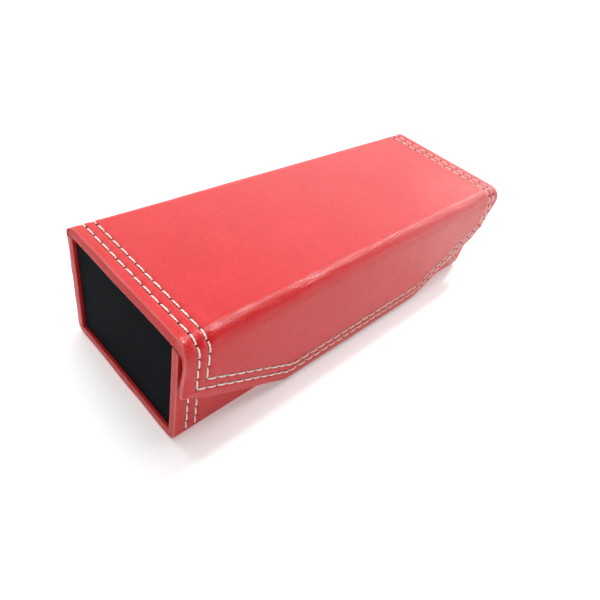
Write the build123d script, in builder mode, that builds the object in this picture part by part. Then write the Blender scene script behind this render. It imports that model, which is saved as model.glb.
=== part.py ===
"""A hard eyeglasses case: boards wrapped in one sheet of stitched red leather-look fabric.

The tray is a long box whose black ends are set in between the wrap's sides. The lid is
hinged along the back by the wrap itself, and a flap hangs from the lid's front edge over
the front wall, where pairs of magnets hold it.

+X runs along the case, -Y is its front and +Z is up. The origin is the middle of the
whole case, level with its resting face. Sizes are in millimetres and angles in degrees.
"""

from build123d import *
import math
import os

os.makedirs("parts", exist_ok=True)

# Overall sizes
length = 160.0
body_depth = 55.0
height = 43.0

# Layers of a panel, from the outside in; the hem is sunk into the board
leather = 0.7
board = 1.9
hem = 0.4
lining = 0.4

# Edges and hems
hem_width = 10.0
lining_margin = 1.5
top_radius = 5.0
bottom_radius = 2.5

# Clearances
flap_gap = 0.8
wall_clearance = 0.7
end_clearance = 0.3
board_clearance = 0.1
fold_clearance = 0.05

# Black end panels
end_recess = 1.2
end_board_thickness = 1.6
end_fabric = 0.4

# Flap outline: its ends hang this far from the lid's top, its middle stops above the table
flap_end_drop = 19.4
flap_middle_lift = 1.7
flap_slope_run = 41.8
flap_corner_radius = 2.5
flap_bend_radius = 9.0

# Along its free edges the flap has no board in it: the wrap is only folded on itself
flap_border = 3.5

# Lid hinge: the bending strip of the wrap starts this share of the way from the foot of the
# rounded corner to the crease, and ends this far along the wrap past the crease
hinge_start_share = 0.4
hinge_above = 2.5
hinge_lining_thickness = 0.25

# Magnets
magnet_diameter = 10.0
magnet_thickness = 1.0
magnet_spacing = 48.0
magnet_height = 18.0

# Stitching: two rows, each so far in from the edge that it follows
row_insets = (4.2, 7.4)
stitch_pitch = 4.0
stitch_length = 3.3
thread_width = 0.7
thread_thickness = 0.35
groove_width = 1.0
groove_depth = 0.4

# Depths below a panel's outer face
panel = leather + board + lining
wrapped = leather + board
hem_face = wrapped - hem

# Faces of the case
half = length / 2
flap_front = -(body_depth + flap_gap + panel) / 2
front = flap_front + panel + flap_gap
back = front + body_depth
lid_underside = height - panel
wall_top = lid_underside - wall_clearance
end_top = lid_underside - end_clearance

# How far each way along the case the layers reach
board_end = half - leather
window_end = board_end - hem_width
lining_end = half - lining_margin
end_outside = half - end_recess
end_inside = end_outside - end_board_thickness - 2 * end_fabric

# The rounded top corners, and the lid's hinge where the wrap bends at the crease
arc_z = height - top_radius
back_arc = (back - top_radius, arc_z)
front_arc = (flap_front + top_radius, arc_z)
skin_radius = top_radius - leather / 2
crease_z = (wall_top + lid_underside) / 2
crease_angle = math.degrees(math.asin((crease_z - arc_z) / skin_radius))
hinge_start = crease_angle * hinge_start_share
hinge_end = crease_angle + math.degrees(hinge_above / skin_radius)
clearance_angle = math.degrees(fold_clearance / skin_radius)
stitch_angle = math.degrees(stitch_length / top_radius)

# Sketch planes on the outer faces
front_plane = Plane.XZ.offset(-front)
flap_plane = Plane.XZ.offset(-flap_front)


def save(builder, name):
    """Labels a finished piece and writes it."""
    builder.part.label = name
    export_step(builder.part, f"parts/{name}.step")


def block(x, y, z):
    """Adds a block that fills a (low, high) span along each axis."""
    middle = (sum(x) / 2, sum(y) / 2, sum(z) / 2)
    with Locations(middle):
        Box(abs(x[1] - x[0]), abs(y[1] - y[0]), abs(z[1] - z[0]))


def along(x_half):
    """Extrudes the pending section both ways along the case."""
    extrude(amount=x_half, both=True)


def cut_along(x_half):
    """Cuts the pending section both ways along the case."""
    extrude(amount=x_half, both=True, mode=Mode.SUBTRACT)


def tray_section(outer, inner, front_top, back_top):
    """Fills the tray's wall between two depths, up to a height at the front and the back."""
    with BuildLine() as outline:
        Polyline(
            (front + outer, front_top),
            (front + outer, outer),
            (back - outer, outer),
            (back - outer, back_top),
            (back - inner, back_top),
            (back - inner, inner),
            (front + inner, inner),
            (front + inner, front_top),
            close=True,
        )
    make_face(outline.edges())


def lid_section(outer, inner):
    """Fills the lid between two depths, from the fold to the rounded back corner."""
    with BuildLine() as outline:
        Polyline(
            (front_arc[0], height - outer),
            (back - outer, height - outer),
            (back - outer, height - inner),
            (front_arc[0], height - inner),
            close=True,
        )
    make_face(outline.edges())


def trim_back_corner(inset):
    """Cuts a section back to the rounded top corner, inset from the case's outer face."""
    y, z = back_arc
    radius = top_radius - inset
    beyond = 2 * top_radius
    with BuildLine() as outline:
        arc = CenterArc(back_arc, radius, 0, 90)
        Polyline(arc @ 0, (y + beyond, z), (y + beyond, z + beyond), (y, z + beyond), arc @ 1)
    make_face(outline.edges(), mode=Mode.SUBTRACT)


def arc_band(centre, inner_depth, outer_depth, start, end, mode=Mode.ADD):
    """Fills the wall of a rounded top corner between two depths and two angles."""
    with BuildLine() as outline:
        outer = CenterArc(centre, top_radius - outer_depth, start, end - start)
        inner = CenterArc(centre, top_radius - inner_depth, start, end - start)
        Line(outer @ 0, inner @ 0)
        Line(outer @ 1, inner @ 1)
    make_face(outline.edges(), mode=mode)


def cut_hinge_strip():
    """Takes the bending strip of the wrap out of a section."""
    arc_band(back_arc, leather, -leather, hinge_start, hinge_end, mode=Mode.SUBTRACT)


def flap_corners(inset):
    """Gives the flap's corners from the top left one round to the top right one, inset."""
    corner_z = height - flap_end_drop
    slope = math.atan2(corner_z - flap_middle_lift, flap_slope_run)
    rise_at_end = inset * math.tan((math.radians(90) - slope) / 2)
    shift_at_bend = inset * math.tan(slope / 2)
    end_x = half - inset
    bend_x = half - flap_slope_run - shift_at_bend
    low_z = corner_z + rise_at_end
    left = [(-end_x, arc_z), (-end_x, low_z), (-bend_x, flap_middle_lift + inset)]
    return left + [(-x, z) for x, z in reversed(left)]


def flap_outline(inset, mode=Mode.ADD):
    """Fills the flap's outline, inset from its free edges and cut off at the fold."""
    with BuildSketch(mode=Mode.PRIVATE) as outline:
        with BuildLine():
            Polyline(*flap_corners(inset), close=True)
        make_face()
        if inset < flap_corner_radius:
            fillet(outline.vertices().group_by(Axis.Y)[1], flap_corner_radius - inset)
        if inset < flap_bend_radius:
            fillet(outline.vertices().group_by(Axis.Y)[0], flap_bend_radius - inset)
    add(outline.sketch_local, mode=mode)


def front_rows(inset):
    """Gives the front wall's row of stitches, up one end, along the top and down the other."""
    x = half - inset
    z = wall_top - inset
    return [(-x, bottom_radius), (-x, z), (x, z), (x, bottom_radius)]


def stitch_run(start, end):
    """Draws stitches from one point to another, with a needle hole at both points."""
    run = Vector(*end) - Vector(*start)
    count = max(1, round(run.length / stitch_pitch))
    angle = math.degrees(math.atan2(run.Y, run.X))
    middles = [Vector(*start) + run * ((i + 0.5) / count) for i in range(count)]
    with Locations([Location((m.X, m.Y, 0), (0, 0, angle)) for m in middles]):
        SlotOverall(stitch_length, thread_width)


def stitch_path(points):
    """Draws stitches along every straight run of a path."""
    for start, end in zip(points, points[1:]):
        stitch_run(start, end)


def stitch_straight_rows(low, high):
    """Draws the rows that run straight across the case near both of its ends."""
    for inset in row_insets:
        for x in (inset - half, half - inset):
            stitch_run((x, low), (x, high))


def groove_across(section):
    """Cuts a section across the case as a groove under every row near the ends."""
    for inset in row_insets:
        for x in (inset - half, half - inset):
            with BuildSketch(Plane.YZ.offset(x - groove_width / 2)) as groove:
                section(inset)
            extrude(groove.sketch, amount=groove_width, mode=Mode.SUBTRACT)


def stitch_across(centre, middle):
    """Bends one stitch of every row round a top corner, about a middle angle."""
    for inset in row_insets:
        for x in (inset - half, half - inset):
            with BuildSketch(Plane.YZ.offset(x - thread_width / 2)) as stitch:
                arc_band(
                    centre,
                    groove_depth,
                    groove_depth - thread_thickness,
                    middle - stitch_angle / 2,
                    middle + stitch_angle / 2,
                )
            extrude(stitch.sketch, amount=thread_width)


# Tray boards

with BuildPart() as bottom_board:
    bottom_span = (front + wrapped + board_clearance, back - wrapped - board_clearance)
    block((-board_end, board_end), bottom_span, (leather, hem_face))
    block((-window_end, window_end), bottom_span, (hem_face, wrapped))
save(bottom_board, "bottom_board")

with BuildPart() as front_board:
    block(
        (-board_end, board_end),
        (front + leather, front + hem_face),
        (bottom_radius, wall_top - leather),
    )
    block(
        (-window_end, window_end),
        (front + hem_face, front + wrapped),
        (bottom_radius, wall_top - leather - hem_width),
    )
    with BuildSketch(Plane.XZ.offset(-(front + leather))):
        with Locations((-magnet_spacing / 2, magnet_height), (magnet_spacing / 2, magnet_height)):
            Circle(magnet_diameter / 2)
    extrude(amount=-magnet_thickness, mode=Mode.SUBTRACT)
save(front_board, "front_board")

with BuildPart() as front_magnets:
    with BuildSketch(Plane.XZ.offset(-(front + leather))):
        with Locations((-magnet_spacing / 2, magnet_height), (magnet_spacing / 2, magnet_height)):
            Circle(magnet_diameter / 2)
    extrude(amount=-magnet_thickness)
save(front_magnets, "front_magnets")

with BuildPart() as back_board:
    for x_half, outer, inner in ((board_end, leather, hem_face), (window_end, hem_face, wrapped)):
        with BuildSketch(Plane.YZ):
            with BuildLine():
                Polyline(
                    (back - outer, bottom_radius),
                    (back - outer, wall_top),
                    (back - inner, wall_top),
                    (back - inner, bottom_radius),
                    close=True,
                )
            make_face()
            trim_back_corner(leather)
        along(x_half)
save(back_board, "back_board")

# Tray wrap and lining

with BuildPart() as tray_cover:
    with BuildSketch(Plane.YZ) as outside:
        tray_section(0, wrapped, wall_top, wall_top)
        fillet(outside.vertices().group_by(Axis.Y)[0], bottom_radius)
        trim_back_corner(0)
        cut_hinge_strip()
    along(half)
    with BuildSketch(Plane.YZ) as board_pocket:
        tray_section(leather, hem_face, wall_top - leather, height)
        fillet(board_pocket.vertices().group_by(Axis.Y)[0], bottom_radius - leather)
        trim_back_corner(leather)
    cut_along(board_end)
    with BuildSketch(Plane.YZ):
        tray_section(hem_face, wrapped, wall_top - leather - hem_width, height)
    cut_along(window_end)
    groove_across(lambda inset: tray_section(0, groove_depth, wall_top - inset, arc_z))
    groove_across(lambda inset: arc_band(back_arc, groove_depth, -groove_depth, 0, hinge_start))
    with BuildSketch(front_plane):
        for inset in row_insets:
            with Locations((0, wall_top - inset)):
                Rectangle(2 * (half - inset) + groove_width, groove_width)
    extrude(amount=-groove_depth, mode=Mode.SUBTRACT)
save(tray_cover, "tray_cover")

with BuildPart() as tray_lining:
    with BuildSketch(Plane.YZ):
        tray_section(wrapped, panel, wall_top - lining_margin, wall_top)
    along(end_inside)
save(tray_lining, "tray_lining")

with BuildPart() as tray_stitching:
    with BuildSketch(Plane.XZ.offset(-(front + groove_depth))):
        for inset in row_insets:
            stitch_path(front_rows(inset))
    extrude(amount=thread_thickness)
    with BuildSketch(Plane.XZ.offset(-(back - groove_depth))):
        stitch_straight_rows(bottom_radius, arc_z)
    extrude(amount=-thread_thickness)
    with BuildSketch(Plane.XY.offset(groove_depth)):
        stitch_straight_rows(front + bottom_radius, back - bottom_radius)
    extrude(amount=-thread_thickness)
save(tray_stitching, "tray_stitching")

# End panels: a board in a sleeve of black fabric that is open below

for side, name in ((-1, "left"), (1, "right")):
    outside_x = side * end_outside
    inside_x = side * end_inside
    board_x = (outside_x - side * end_fabric, inside_x + side * end_fabric)
    board_y = (front + wrapped + end_fabric, back - wrapped - end_fabric)
    board_z = (wrapped, end_top - end_fabric)

    with BuildPart() as end_board:
        block(board_x, board_y, board_z)
    save(end_board, f"{name}_end_board")

    with BuildPart() as end_cover:
        block((outside_x, inside_x), (front + wrapped, back - wrapped), (wrapped, end_top))
        add(end_board, mode=Mode.SUBTRACT)
    save(end_cover, f"{name}_end_cover")

# Back hinge: the strip of wrap that bends, and the lining folded into the crease behind it

with BuildPart() as hinge_leather:
    with BuildSketch(Plane.YZ):
        arc_band(back_arc, leather, 0, hinge_start, hinge_end - clearance_angle)
    along(half)
    groove_across(lambda inset: arc_band(back_arc, groove_depth, -groove_depth, hinge_start, hinge_end))
save(hinge_leather, "hinge_leather")

with BuildPart() as hinge_lining:
    crease_top = lid_underside + lining - fold_clearance
    skin_inside = top_radius - leather
    web_y = back_arc[0] + math.sqrt(skin_inside**2 - (crease_top - arc_z) ** 2) - fold_clearance
    with BuildSketch(Plane.YZ):
        with BuildLine():
            Polyline(
                (back - panel, wall_top),
                (web_y, wall_top),
                (web_y, crease_top),
                (back - panel, crease_top),
                (back - panel, crease_top - hinge_lining_thickness),
                (web_y - hinge_lining_thickness, crease_top - hinge_lining_thickness),
                (web_y - hinge_lining_thickness, wall_top + hinge_lining_thickness),
                (back - panel, wall_top + hinge_lining_thickness),
                close=True,
            )
        make_face()
    along(end_inside)
save(hinge_lining, "hinge_lining")

with BuildPart() as hinge_stitching:
    stitch_across(back_arc, hinge_end / 2)
save(hinge_stitching, "hinge_stitching")

# Lid

with BuildPart() as lid_board:
    for x_half, outer, inner in ((board_end, leather, hem_face), (window_end, hem_face, wrapped)):
        with BuildSketch(Plane.YZ):
            lid_section(outer, inner)
            trim_back_corner(leather + board_clearance)
        along(x_half)
save(lid_board, "lid_board")

with BuildPart() as lid_cover:
    with BuildSketch(Plane.YZ):
        lid_section(0, wrapped)
        trim_back_corner(0)
        cut_hinge_strip()
    along(half)
    for x_half, outer, inner in ((board_end, leather, hem_face), (window_end, hem_face, wrapped)):
        with BuildSketch(Plane.YZ):
            lid_section(outer, inner)
            trim_back_corner(leather)
        cut_along(x_half)
    groove_across(lambda inset: lid_section(0, groove_depth))
    groove_across(lambda inset: arc_band(back_arc, groove_depth, 0, hinge_end, 90))
save(lid_cover, "lid_cover")

with BuildPart() as lid_lining:
    block((-lining_end, lining_end), (front_arc[0], back - panel), (lid_underside, height - wrapped))
save(lid_lining, "lid_lining")

with BuildPart() as lid_stitching:
    with BuildSketch(Plane.XY.offset(height - groove_depth)):
        stitch_straight_rows(front_arc[0], back_arc[0])
    extrude(amount=thread_thickness)
    stitch_across(back_arc, (hinge_end + 90) / 2)
save(lid_stitching, "lid_stitching")

# Fold between the lid and the flap, with no board in it

fold_end = 180 - clearance_angle

with BuildPart() as fold_leather:
    for x_half, inner, outer, mode in (
        (half, wrapped, 0, Mode.ADD),
        (board_end, hem_face, leather, Mode.SUBTRACT),
        (window_end, wrapped, hem_face, Mode.SUBTRACT),
    ):
        with BuildSketch(Plane.YZ):
            arc_band(front_arc, inner, outer, 90, fold_end)
        extrude(amount=x_half, both=True, mode=mode)
    groove_across(lambda inset: arc_band(front_arc, groove_depth, 0, 90, fold_end))
save(fold_leather, "fold_leather")

with BuildPart() as fold_lining:
    with BuildSketch(Plane.YZ):
        arc_band(front_arc, panel, wrapped, 90, fold_end)
    along(lining_end)
save(fold_lining, "fold_lining")

with BuildPart() as fold_stitching:
    stitch_across(front_arc, 90 + 45 / 2)
    stitch_across(front_arc, 180 - 45 / 2)
save(fold_stitching, "fold_stitching")

# Flap

with BuildPart() as flap_board:
    with BuildSketch(Plane.XZ.offset(-(flap_front + leather))):
        flap_outline(flap_border + hem)
    extrude(amount=-(hem_face - leather))
    with BuildSketch(Plane.XZ.offset(-(flap_front + hem_face))):
        flap_outline(leather + hem_width)
    extrude(amount=-hem)
    with BuildSketch(Plane.XZ.offset(-(flap_front + wrapped))):
        with Locations((-magnet_spacing / 2, magnet_height), (magnet_spacing / 2, magnet_height)):
            Circle(magnet_diameter / 2)
    extrude(amount=magnet_thickness, mode=Mode.SUBTRACT)
save(flap_board, "flap_board")

with BuildPart() as flap_magnets:
    with BuildSketch(Plane.XZ.offset(-(flap_front + wrapped))):
        with Locations((-magnet_spacing / 2, magnet_height), (magnet_spacing / 2, magnet_height)):
            Circle(magnet_diameter / 2)
    extrude(amount=magnet_thickness)
save(flap_magnets, "flap_magnets")

with BuildPart() as flap_cover:
    for inset, thickness in ((0, 2 * leather), (flap_border, wrapped)):
        with BuildSketch(flap_plane):
            flap_outline(inset)
        extrude(amount=-thickness)
    with BuildSketch(Plane.XZ.offset(-(flap_front + leather))):
        flap_outline(flap_border + hem)
    extrude(amount=-(hem_face - leather), mode=Mode.SUBTRACT)
    with BuildSketch(Plane.XZ.offset(-(flap_front + hem_face))):
        flap_outline(leather + hem_width)
    extrude(amount=-hem, mode=Mode.SUBTRACT)
    for inset in row_insets:
        with BuildSketch(flap_plane):
            flap_outline(inset - groove_width / 2)
            flap_outline(inset + groove_width / 2, mode=Mode.SUBTRACT)
        extrude(amount=-groove_depth, mode=Mode.SUBTRACT)
save(flap_cover, "flap_cover")

with BuildPart() as flap_lining:
    with BuildSketch(Plane.XZ.offset(-(flap_front + wrapped))):
        flap_outline(flap_border + lining_margin)
    extrude(amount=-lining)
save(flap_lining, "flap_lining")

with BuildPart() as flap_stitching:
    with BuildSketch(Plane.XZ.offset(-(flap_front + groove_depth))):
        for inset in row_insets:
            stitch_path(flap_corners(inset))
    extrude(amount=thread_thickness)
save(flap_stitching, "flap_stitching")
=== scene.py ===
"""The looks of a stitched, leather-look eyeglasses case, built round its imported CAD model."""

import math

import bmesh
import bpy
import numpy as np
from mathutils import Matrix, Vector


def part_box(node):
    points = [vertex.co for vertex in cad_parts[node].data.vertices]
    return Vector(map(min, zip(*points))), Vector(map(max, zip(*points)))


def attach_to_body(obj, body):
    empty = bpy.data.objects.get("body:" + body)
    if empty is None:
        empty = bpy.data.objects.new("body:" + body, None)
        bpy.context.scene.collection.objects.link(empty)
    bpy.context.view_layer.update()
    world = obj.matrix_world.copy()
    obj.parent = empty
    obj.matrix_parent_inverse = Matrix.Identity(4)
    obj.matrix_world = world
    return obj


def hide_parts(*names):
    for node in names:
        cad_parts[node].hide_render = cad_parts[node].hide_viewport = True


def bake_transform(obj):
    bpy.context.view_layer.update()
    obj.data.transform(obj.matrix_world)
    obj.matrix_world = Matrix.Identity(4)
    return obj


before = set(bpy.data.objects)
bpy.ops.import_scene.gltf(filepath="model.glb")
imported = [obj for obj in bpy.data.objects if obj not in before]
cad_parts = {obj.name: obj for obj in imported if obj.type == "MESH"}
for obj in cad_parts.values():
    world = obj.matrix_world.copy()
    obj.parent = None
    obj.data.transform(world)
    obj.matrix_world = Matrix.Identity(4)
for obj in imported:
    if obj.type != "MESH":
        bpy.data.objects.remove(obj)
scene = bpy.context.scene
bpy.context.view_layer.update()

MM = 0.001

# Directions in the YZ plane, as angles from +Y round towards +Z
UP, FORWARD, DOWN = math.pi / 2, math.pi, -math.pi / 2

# Faces of the case, read from the CAD
LID_BOX, FLAP_BOX, TRAY_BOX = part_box("lid_cover"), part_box("flap_cover"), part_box("tray_cover")
HALF = LID_BOX[1].x
TOP = LID_BOX[1].z
FLAP_FRONT = FLAP_BOX[0].y
FLAP_LOW = FLAP_BOX[0].z
ARC_Z = FLAP_BOX[1].z
FRONT = TRAY_BOX[0].y
BACK = TRAY_BOX[1].y
WALL_TOP = TRAY_BOX[1].z
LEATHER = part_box("flap_board")[0].y - FLAP_FRONT
WRAPPED = FLAP_BOX[1].y - FLAP_FRONT
END_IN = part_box("right_end_cover")[0].x
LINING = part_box("flap_lining")[1].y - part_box("flap_lining")[0].y
LINING_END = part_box("lid_lining")[1].x
LINING_STEP = 1.5 * MM
TOP_R = TOP - ARC_Z
BACK_ARC = (BACK - TOP_R, ARC_Z)
FRONT_ARC = (FLAP_FRONT + TOP_R, ARC_Z)
STRIP_R = TOP_R - LEATHER
HINGE_LOW, HINGE_HIGH = (corner.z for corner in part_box("hinge_leather"))
HINGE_START = math.asin((HINGE_LOW - ARC_Z) / STRIP_R)
HINGE_END = math.asin((HINGE_HIGH - ARC_Z) / TOP_R)
QUARTER = TOP_R * math.pi / 2

# Sizes that the drawing of the case gives and its boxes don't
BOTTOM_R = 2.5 * MM
FLAP_END_DROP = 19.4 * MM
FLAP_RUN = 41.8 * MM
FLAP_CORNER_R = 2.5 * MM
FLAP_BEND_R = 9.0 * MM
LEAST_R = 0.3 * MM
ROWS = (4.2 * MM, 7.4 * MM)
PITCH = 4.0 * MM
HEM_WIDTH = 10.7 * MM

# How the wrap is finished
BORDER = 3.5 * MM
BORDER_THICKNESS = 1.0 * MM
BORDER_CURL = 0.9 * MM
WAVER_REACH = 1.5 * MM
WAVER_FADE = 9 * MM
LID_SLIP = 0.5 * MM
LID_LEAN = 0.8 * MM
EDGE_R = 0.5 * MM
GROOVE_DEPTH = 0.22 * MM
GROOVE_WIDTH = 0.55 * MM
PUCKER_DEPTH = 0.2 * MM
PUCKER_REACH = 0.8 * MM
SHADE_WIDTH = 0.42 * MM
PUFF = 0.10 * MM
PUFF_EASE = 0.5 * MM
CORNER_EASE = 3 * MM
FOLD_FLAT = 1.0 * MM

# Unevenness, each as how high, how long and the seed of its wave
SWELL = (0.04 * MM, 30 * MM, 3)
DIMPLE = (0.012 * MM, 9 * MM, 4)
FOLD_CREASE = (0.03 * MM, 6 * MM, 5)
FOLD_CRACKLE = (0.022 * MM, 1.9 * MM, 6)
END_WAVER = {1: (0.08 * MM, 14 * MM, 11), -1: (0.08 * MM, 14 * MM, 12)}
FLAP_WAVER = (0.10 * MM, 16 * MM, 15)
FABRIC_WAVER = (0.03 * MM, 9 * MM, 21)

# How dark the painted shade in the stitch groove and round the needle holes is
GROOVE_SHADE, HOLE_SHADE = 0.35, 0.5


# Steps, smooth random waves and places on arcs


def smooth(t):
    """An even step from 0 to 1."""
    t = np.clip(t, 0, 1)
    return t * t * (3 - 2 * t)


def bell(distance, width):
    """1 at no distance, falling away evenly over about the width."""
    return np.exp(-((distance / width) ** 2))


def on_arc(centre, radius, angle):
    """A point in the YZ plane, on a circle round the centre."""
    return centre[0] + radius * math.cos(angle), centre[1] + radius * math.sin(angle)


def ripple(u, v, kind):
    """A smooth random wave over a surface, the same on every piece at the same place."""
    height, size, seed = kind
    rng = np.random.default_rng(seed)
    total = np.zeros(np.broadcast(u, v).shape)
    waves = 7
    for _ in range(waves):
        turn, phase = rng.uniform(0, 2 * math.pi), rng.uniform(0, 2 * math.pi)
        k = 2 * math.pi / (size * rng.uniform(0.7, 1.6))
        total = total + np.sin(k * (u * math.cos(turn) + v * math.sin(turn)) + phase)
    return height * total / math.sqrt(waves)


# The wrap's outer face as flat and rounded regions, each with its own map to the row frame


def flat_map(axis, place, out):
    """A flat region: u runs along X, v along Z, or along Y on a level face."""

    def to_row(u, v):
        u, v = np.broadcast_arrays(np.asarray(u, float), np.asarray(v, float))
        fixed = np.full(u.shape, place)
        point = np.stack([u, fixed, v] if axis == 1 else [u, v, fixed], axis=-1)
        normal = np.zeros(point.shape)
        normal[..., axis] = out
        return point, normal

    return to_row


def arc_map(centre, start):
    """A rounded top corner: u runs along X, v round the arc from the start angle."""

    def to_row(u, v):
        u, v = np.broadcast_arrays(np.asarray(u, float), np.asarray(v, float))
        angle = start + v / TOP_R
        normal = np.stack([np.zeros(u.shape), np.cos(angle), np.sin(angle)], axis=-1)
        point = np.stack([u, np.full(u.shape, centre[0]), np.full(u.shape, centre[1])], axis=-1)
        return point + TOP_R * normal, normal

    return to_row


REGIONS = {
    "front": flat_map(1, FRONT, -1),
    "flap": flat_map(1, FLAP_FRONT, -1),
    "back": flat_map(1, BACK, 1),
    "bottom": flat_map(2, 0.0, -1),
    "lid": flat_map(2, TOP, 1),
    "back_arc": arc_map(BACK_ARC, 0.0),
    "fold_arc": arc_map(FRONT_ARC, math.pi / 2),
}


def travel(region, v):
    """The distance along the wrap at v, so that ripples run on from one region to the next."""
    fold_line, back_line = FRONT_ARC[0], BACK_ARC[0]
    return {
        "lid": v,
        "fold_arc": fold_line - v,
        "flap": fold_line - QUARTER - (ARC_Z - v),
        "back_arc": back_line + QUARTER - v,
        "back": back_line + QUARTER + (ARC_Z - v),
    }.get(region, v + 1.0)


def flap_corners(inset):
    """The flap's corners from the top left one round to the top right one, inset."""
    corner_z = TOP - FLAP_END_DROP
    slope = math.atan2(corner_z - FLAP_LOW, FLAP_RUN)
    end_x = HALF - inset
    bend_x = HALF - FLAP_RUN - inset * math.tan(slope / 2)
    low_z = corner_z + inset * math.tan((math.pi / 2 - slope) / 2)
    left = [(-end_x, ARC_Z), (-end_x, low_z), (-bend_x, FLAP_LOW + inset)]
    return left + [(-x, z) for x, z in reversed(left)]


def seams():
    """Every straight run of stitches: its region, its ends, how many stitches and whose they are."""
    runs = []

    def run(owner, region, start, end, count=None):
        size = math.dist(start, end)
        runs.append((owner, region, start, end, count or max(1, round(size / PITCH))))

    for inset in ROWS:
        for x in (inset - HALF, HALF - inset):
            run("tray", "front", (x, BOTTOM_R), (x, WALL_TOP - inset))
            run("tray", "bottom", (x, FRONT + BOTTOM_R), (x, BACK - BOTTOM_R))
            run("tray", "back", (x, BOTTOM_R), (x, ARC_Z))
            run("hinge", "back_arc", (x, 0.0), (x, TOP_R * HINGE_END), 1)
            run("lid", "back_arc", (x, TOP_R * HINGE_END), (x, QUARTER), 1)
            run("lid", "lid", (x, FRONT_ARC[0]), (x, BACK_ARC[0]))
            run("fold", "fold_arc", (x, 0.0), (x, QUARTER), 2)
        run("tray", "front", (inset - HALF, WALL_TOP - inset), (HALF - inset, WALL_TOP - inset))
        corners = flap_corners(inset)
        for start, end in zip(corners, corners[1:]):
            run("flap", "flap", start, end)
    return runs


SEAMS = seams()


def runs_of(owner):
    return [run[1:] for run in SEAMS if run[0] == owner]


def ends_off(start, end, count):
    """So many even steps from start, short of end."""
    return np.linspace(start, end, count, endpoint=False)


def run_axes(start, end):
    """A run's first point, its length, and the ways along and across it."""
    a, b = np.array(start), np.array(end)
    size = np.linalg.norm(b - a)
    way = (b - a) / size
    return a, size, way, np.array([-way[1], way[0]])


def seam_marks(region, u, v):
    """How deep the stitching pulls the wrap in, and how dark the painted shade in the groove and round the
    holes is, 0 to 1.
    """
    dent, shade = np.zeros(u.shape), np.zeros(u.shape)
    for _, where, start, end, count in SEAMS:
        if where != region:
            continue
        a, size, way, side = run_axes(start, end)
        along = (u - a[0]) * way[0] + (v - a[1]) * way[1]
        across = np.abs((u - a[0]) * side[0] + (v - a[1]) * side[1])
        beyond = np.maximum(0, np.maximum(-along, along - size))
        reach = np.hypot(across, beyond)
        pitch = size / count
        to_hole = np.abs(along / pitch - np.round(along / pitch)) * pitch
        from_hole = np.hypot(across, np.hypot(to_hole, beyond))
        groove = GROOVE_DEPTH * bell(reach, GROOVE_WIDTH) + PUCKER_DEPTH * bell(from_hole, PUCKER_REACH)
        dark = GROOVE_SHADE * bell(reach, SHADE_WIDTH) + HOLE_SHADE * bell(from_hole, SHADE_WIDTH)
        dent = np.maximum(dent, groove)
        shade = np.maximum(shade, dark)
    return dent, shade


def surface_lift(region, u, v):
    """How far the wrap's outer face stands from the ideal one, positive outwards."""
    way = travel(region, v)
    lift = ripple(u, way, SWELL) + ripple(u, way, DIMPLE)
    from_end = HALF - np.abs(u)
    lift = lift + PUFF / (1 + np.exp((from_end - HEM_WIDTH) / PUFF_EASE))
    if region in ("bottom", "front", "back"):
        low = v - BOTTOM_R if region != "bottom" else BACK - BOTTOM_R - np.abs(v)
        lift = lift * np.clip(low / CORNER_EASE, 0, 1)
    if region == "fold_arc":
        middle = np.sin(np.clip(v / QUARTER, 0, 1) * math.pi) ** 2
        lift = lift + middle * (ripple(u, v * 2, FOLD_CREASE) + ripple(u * 1.6, v, FOLD_CRACKLE))
    return lift - seam_marks(region, u, v)[0]


# Mesh helpers


def make_piece(name, points, faces, material, marks=None, sharp=35):
    """Makes a smooth mesh object that keeps its rest places as an attribute for its material."""
    mesh = bpy.data.meshes.new(name)
    mesh.from_pydata([tuple(p) for p in points], [], [tuple(int(i) for i in f) for f in faces])
    rest = mesh.attributes.new("rest", "FLOAT_VECTOR", "POINT")
    rest.data.foreach_set("vector", np.asarray(points, np.float32).ravel())
    for key, values in (marks or {}).items():
        mark = mesh.attributes.new(key, "FLOAT", "POINT")
        mark.data.foreach_set("value", np.asarray(values, np.float32))
    mesh.validate()
    outward = bmesh.new()
    outward.from_mesh(mesh)
    bmesh.ops.recalc_face_normals(outward, faces=outward.faces)
    outward.to_mesh(mesh)
    outward.free()
    mesh.polygons.foreach_set("use_smooth", [True] * len(mesh.polygons))
    mesh.set_sharp_from_angle(angle=math.radians(sharp))
    mesh.materials.append(material)
    mesh.update()
    obj = bpy.data.objects.new(name, mesh)
    scene.collection.objects.link(obj)
    return obj


def band(a, b, n, closed=True):
    """The faces between two rings of n points, whose first vertices are a and b."""
    return [(a + i, a + (i + 1) % n, b + (i + 1) % n, b + i) for i in range(n if closed else n - 1)]


def tube(rings, n):
    """The faces of a closed tube of rings of n points each, with both its ends."""
    faces = [face for j in range(rings - 1) for face in band(j * n, (j + 1) * n, n)]
    last = (rings - 1) * n
    return faces + [tuple(reversed(range(n))), tuple(range(last, last + n))]


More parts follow.
